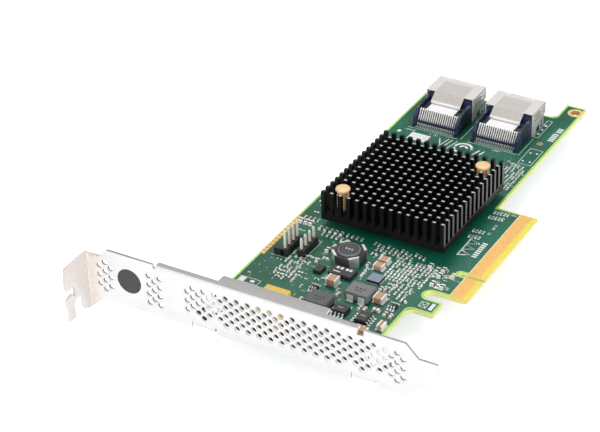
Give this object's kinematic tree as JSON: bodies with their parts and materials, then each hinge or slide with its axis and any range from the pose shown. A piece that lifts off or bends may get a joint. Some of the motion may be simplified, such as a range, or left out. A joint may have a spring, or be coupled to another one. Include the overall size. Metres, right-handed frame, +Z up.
{
  "type": "host bus adapter",
  "caption": "Storage host bus adapter: green circuit board with an edge connector, a perforated full-height slot bracket, a black pin-fin heat sink and cable ports at the far end.",
  "frame": {"origin": "middle of the card's outer box, at the level of its lowest point, the foot of the bracket's screw flange", "axes": "+Y from the bracket's face along the board towards the cable ports, +X along the bracket from its screw flange towards its narrow tongue, which is the side of the edge connector, +Z up from the board through the heat sink"},
  "size_m": [0.12, 0.1804, 0.0234],
  "materials": {
    "nickel_sheet": "bright nickel-plated sheet steel, lightly brushed",
    "screw_steel": "zinc-plated steel",
    "solder_mask": "teal green lacquer over copper tracks on glass laminate, bright yellow-green at the cut edge",
    "gold_plate": "thin gold plating, satin",
    "black_fins": "black anodised aluminium, satin",
    "package_green": "dark green chip carrier",
    "lid_metal": "plain metal chip lid",
    "pad_grey": "soft grey heat pad",
    "pin_tan": "tan moulded nylon",
    "spring_wire": "bright spring wire",
    "port_shell": "tin-plated stamped steel",
    "port_housing": "blue-black moulded plastic",
    "port_block": "white moulded plastic",
    "contact_metal": "gold-flashed copper alloy, tinned feet",
    "header_black": "black moulded plastic",
    "inductor_grey": "grey pressed iron powder",
    "tin": "bright tin over copper",
    "clip_silver": "silver metal shell",
    "disc_grey": "dark grey ferrite",
    "film_yellow": "yellow moulded case",
    "chip_black": "black moulded chip resin",
    "chip_blue_grey": "blue-grey moulded chip resin",
    "ceramic_tan": "tan fired ceramic"
  },
  "bodies": {
    "root": {"bracket": "nickel_sheet", "bracket_screws": "screw_steel", "bracket_nuts": "screw_steel", "circuit_board": "solder_mask", "edge_contacts_top": "gold_plate", "edge_contacts_bottom": "gold_plate", "edge_strip": "gold_plate", "heat_sink": "black_fins", "controller_package": "package_green", "controller_lid": "lid_metal", "thermal_pad": "pad_grey", "push_pins": "pin_tan", "push_pin_springs": "spring_wire", "port_one_shell": "port_shell", "port_one_housing": "port_housing", "port_one_block": "port_block", "port_one_contacts": "contact_metal", "port_two_shell": "port_shell", "port_two_housing": "port_housing", "port_two_block": "port_block", "port_two_contacts": "contact_metal", "header_one_base": "header_black", "header_one_pins": "gold_plate", "header_two_base": "header_black", "header_two_pins": "gold_plate", "power_inductor_one": "inductor_grey", "power_inductor_two": "inductor_grey", "power_inductor_clips": "tin", "drum_inductor_body": "clip_silver", "drum_inductor_disc": "disc_grey", "film_capacitor": "film_yellow", "leaded_chips": "chip_black", "chip_leads": "tin", "logic_chip": "chip_black", "flat_chip": "chip_blue_grey", "rectifier": "chip_black", "ceramic_capacitors": "ceramic_tan", "ceramic_capacitor_ends": "tin"}
  },
  "joints": []
}
